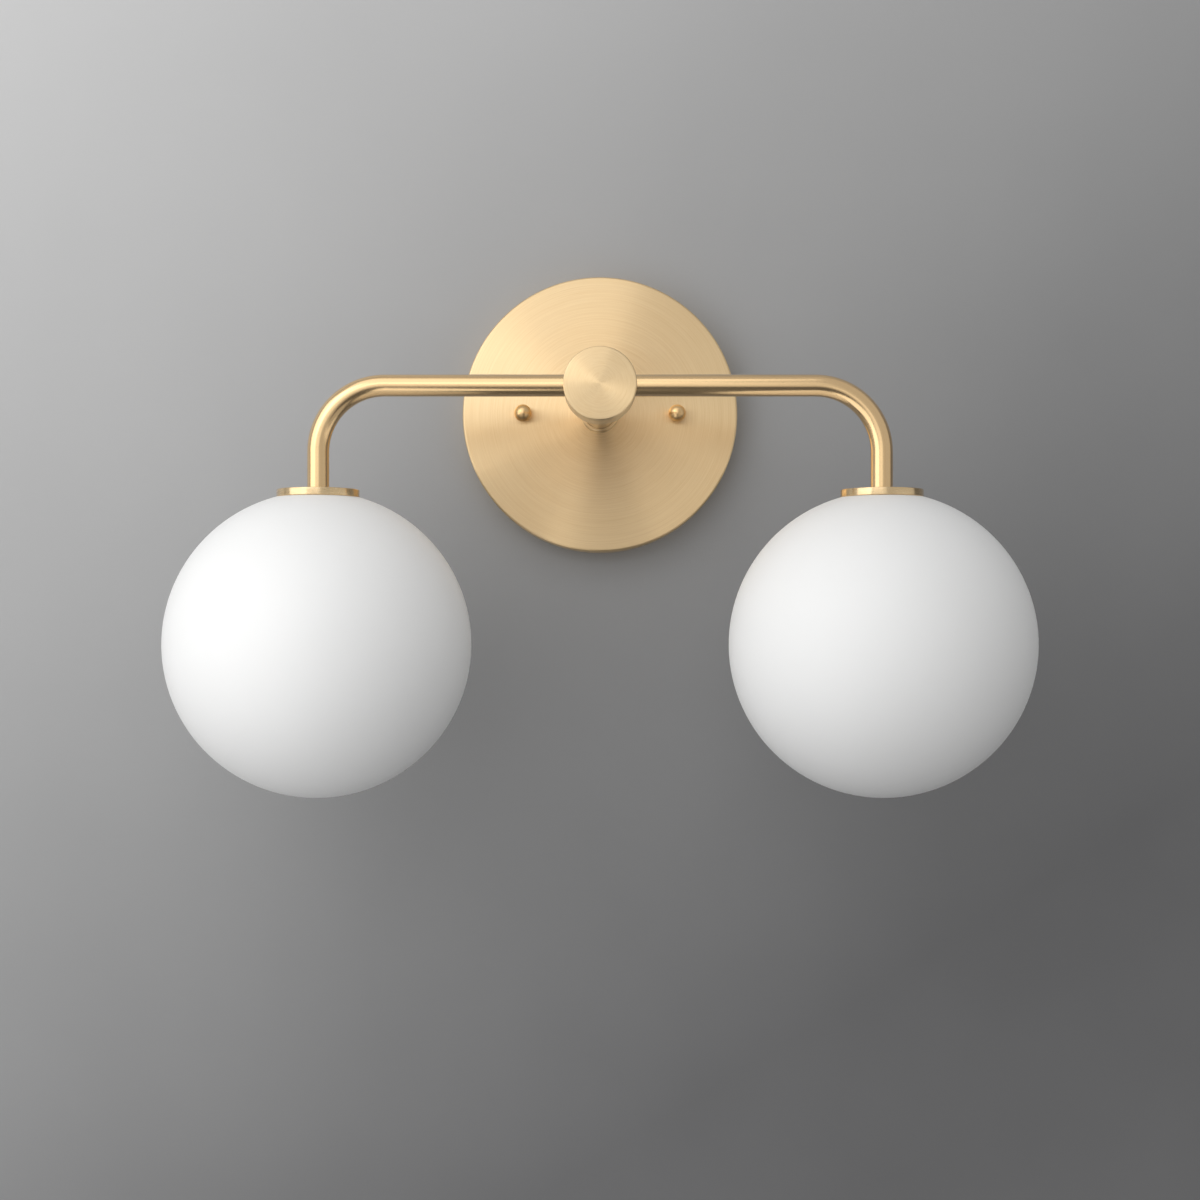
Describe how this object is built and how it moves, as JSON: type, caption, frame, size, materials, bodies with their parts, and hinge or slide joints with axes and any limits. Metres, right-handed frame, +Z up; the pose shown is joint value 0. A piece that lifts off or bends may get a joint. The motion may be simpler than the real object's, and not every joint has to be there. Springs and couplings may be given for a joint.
{
  "type": "double arm wall sconce",
  "caption": "Wall light with a round canopy, a short stem, a hub with two bent tube arms and a round opal globe hanging from each arm.",
  "frame": {"origin": "centre of the canopy's rim and of the mounting plate's back, on the wall", "axes": "+Y into the wall, -Y out to the room, +X to the right of someone facing the light, +Z up"},
  "size_m": [0.4266, 0.211, 0.2783],
  "materials": {
    "brushed_brass": "satin, brushed round on turned faces and along the tubes",
    "polished_brass": "semi-bright",
    "plain_brass": "machined",
    "zinc_steel": "zinc plated",
    "earth_screw_steel": "green passivated",
    "black_steel": "black oxide",
    "contact_steel": "nickel plated",
    "carrier_aluminium": "machined",
    "connector_nylon": "natural nylon",
    "silicone": "matt, translucent white",
    "holder_ceramic": "glazed white",
    "lamp_base_ceramic": "matt white",
    "lead_sleeve": "silicone sleeve",
    "led_board": "white board with yellow emitters",
    "clear_glass": "clear",
    "opal_glass": "matt etched opal, white all through"
  },
  "bodies": {
    "fixture": {"mounting_plate": "zinc_steel", "canopy_studs": "zinc_steel", "ground_screw": "earth_screw_steel", "canopy": "brushed_brass", "ball_nuts": "polished_brass", "centre_rod": "zinc_steel", "lock_washer": "zinc_steel", "canopy_locknut": "plain_brass", "base_collar": "brushed_brass", "stem_tube": "brushed_brass", "hub": "brushed_brass", "arm_set_screws": "black_steel", "wire_connectors": "connector_nylon", "left_arm": "brushed_brass", "left_fitter_disc": "brushed_brass", "left_gasket": "silicone", "left_glass_carrier": "carrier_aluminium", "left_arm_nut": "plain_brass", "left_lampholder": "holder_ceramic", "left_lampholder_screws": "zinc_steel", "left_contacts": "contact_steel", "left_lamp_leads": "lead_sleeve", "right_arm": "brushed_brass", "right_fitter_disc": "brushed_brass", "right_gasket": "silicone", "right_glass_carrier": "carrier_aluminium", "right_arm_nut": "plain_brass", "right_lampholder": "holder_ceramic", "right_lampholder_screws": "zinc_steel", "right_contacts": "contact_steel", "right_lamp_leads": "lead_sleeve"},
    "left_globe_body": {"left_globe": "opal_glass"},
    "left_lamp_body": {"left_bulb_pins": "contact_steel", "left_bulb_base": "lamp_base_ceramic", "left_bulb_envelope": "clear_glass", "left_bulb_led_stick": "led_board"},
    "right_globe_body": {"right_globe": "opal_glass"},
    "right_lamp_body": {"right_bulb_pins": "contact_steel", "right_bulb_base": "lamp_base_ceramic", "right_bulb_envelope": "clear_glass", "right_bulb_led_stick": "led_board"}
  },
  "joints": [
    {"name": "left_globe_off", "type": "slide", "parent": "fixture", "child": "left_globe_body", "axis": [0, 0, -1], "range_m": [0, 0.08]},
    {"name": "left_lamp_out", "type": "slide", "parent": "fixture", "child": "left_lamp_body", "axis": [0, 0, -1], "range_m": [0, 0.012]},
    {"name": "right_globe_off", "type": "slide", "parent": "fixture", "child": "right_globe_body", "axis": [0, 0, -1], "range_m": [0, 0.08]},
    {"name": "right_lamp_out", "type": "slide", "parent": "fixture", "child": "right_lamp_body", "axis": [0, 0, -1], "range_m": [0, 0.012]}
  ]
}
